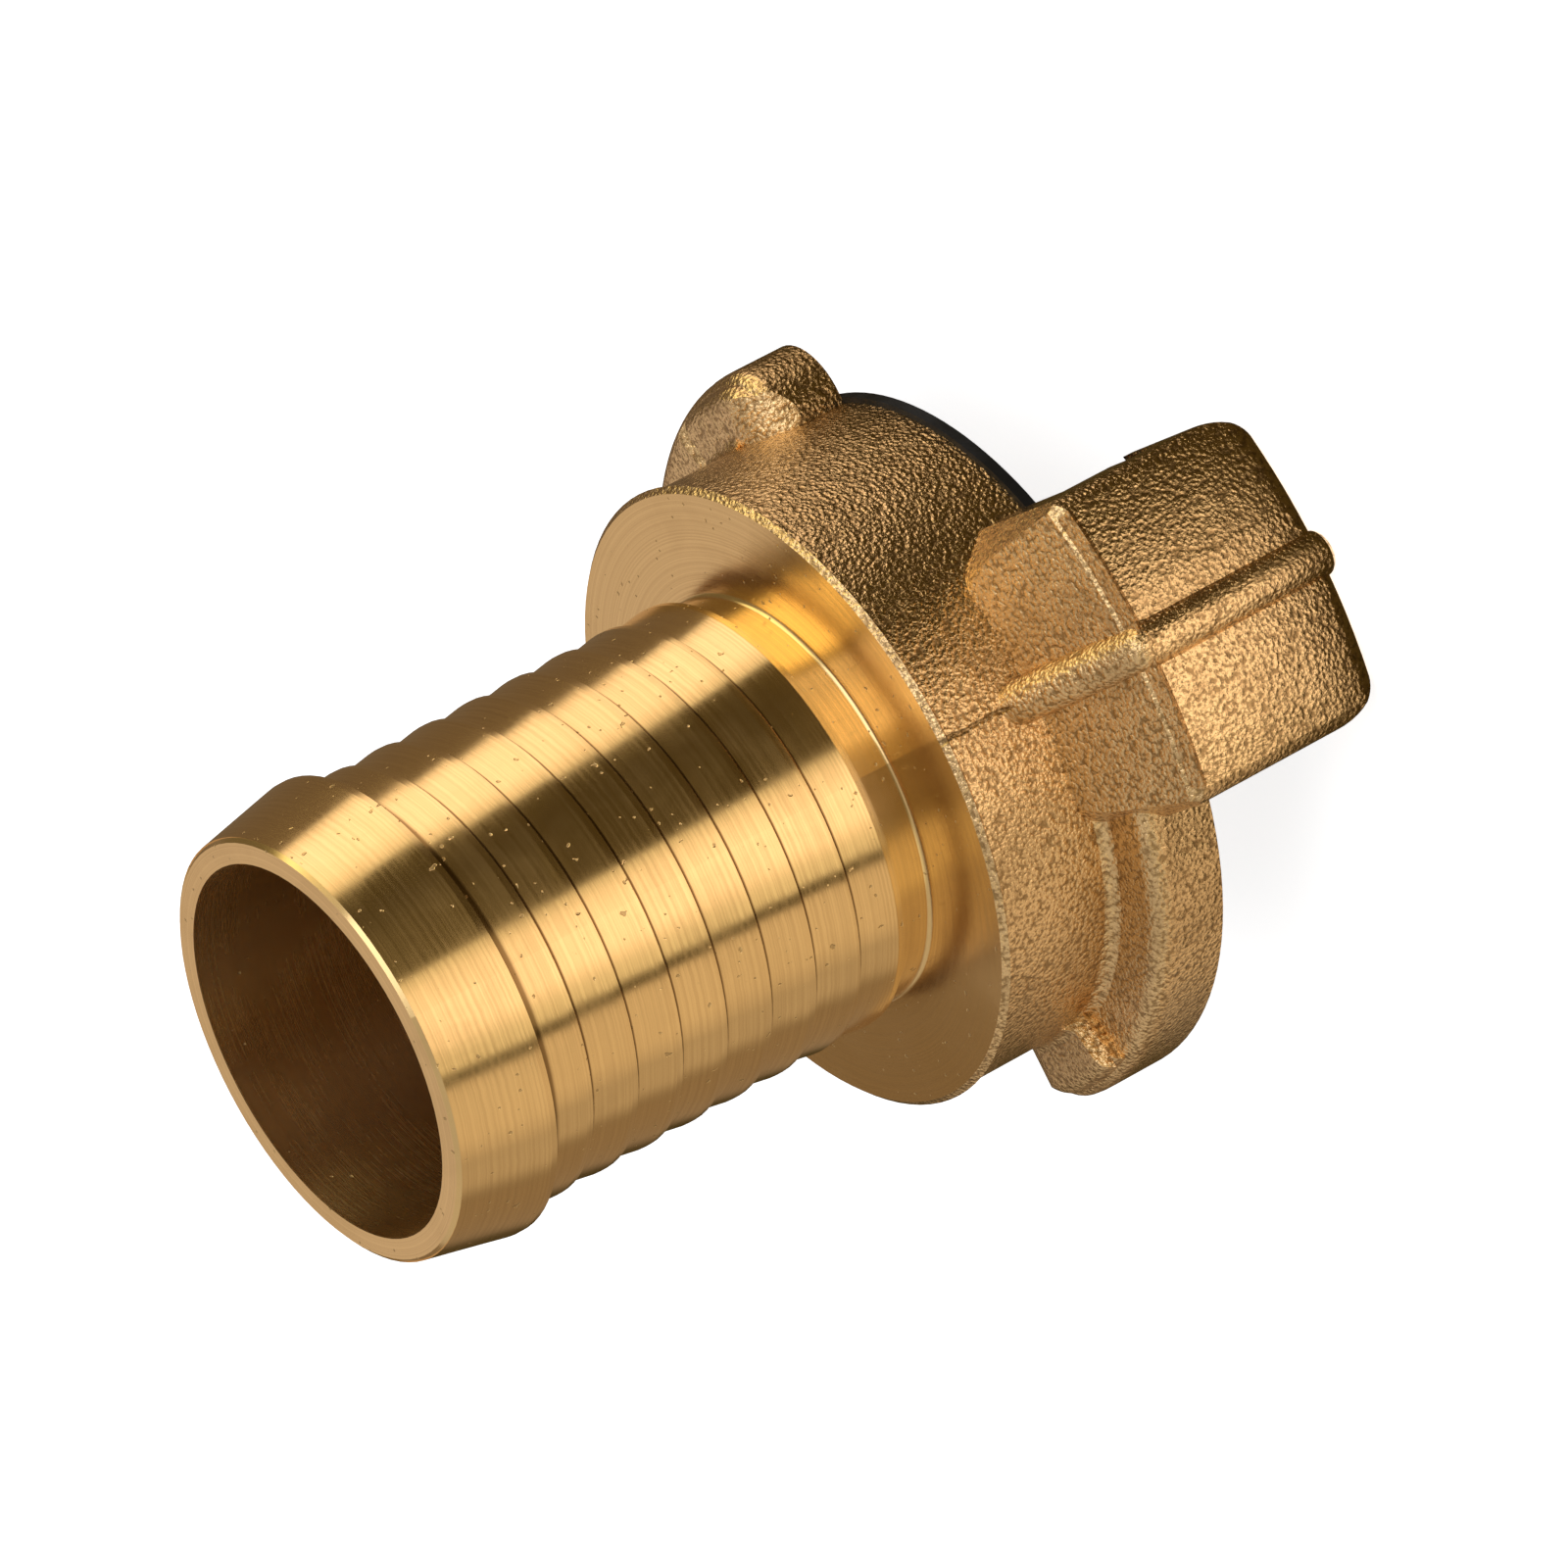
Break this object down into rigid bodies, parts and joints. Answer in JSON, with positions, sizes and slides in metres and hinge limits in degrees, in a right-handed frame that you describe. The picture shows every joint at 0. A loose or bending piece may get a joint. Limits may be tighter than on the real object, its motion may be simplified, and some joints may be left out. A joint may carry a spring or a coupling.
{
  "type": "claw hose coupling",
  "caption": "Brass claw coupling half with a barbed hose tail: claws and wings lock it to an equal half, and a black rubber seal sits in its front.",
  "frame": {"origin": "on the axis of the bore, in the plane of the claw tips, on which the coupling stands", "axes": "+Z along the bore towards the mouth of the hose tail, +X through the middle of one claw, +Y through the free end of the other claw's wing"},
  "size_m": [0.0494, 0.0398, 0.0484],
  "materials": {
    "brass": "blasted casting, turned and polished hose tail",
    "rubber": "matte moulded rubber"
  },
  "bodies": {
    "root": {"body": "brass", "seal": "rubber"}
  },
  "joints": []
}
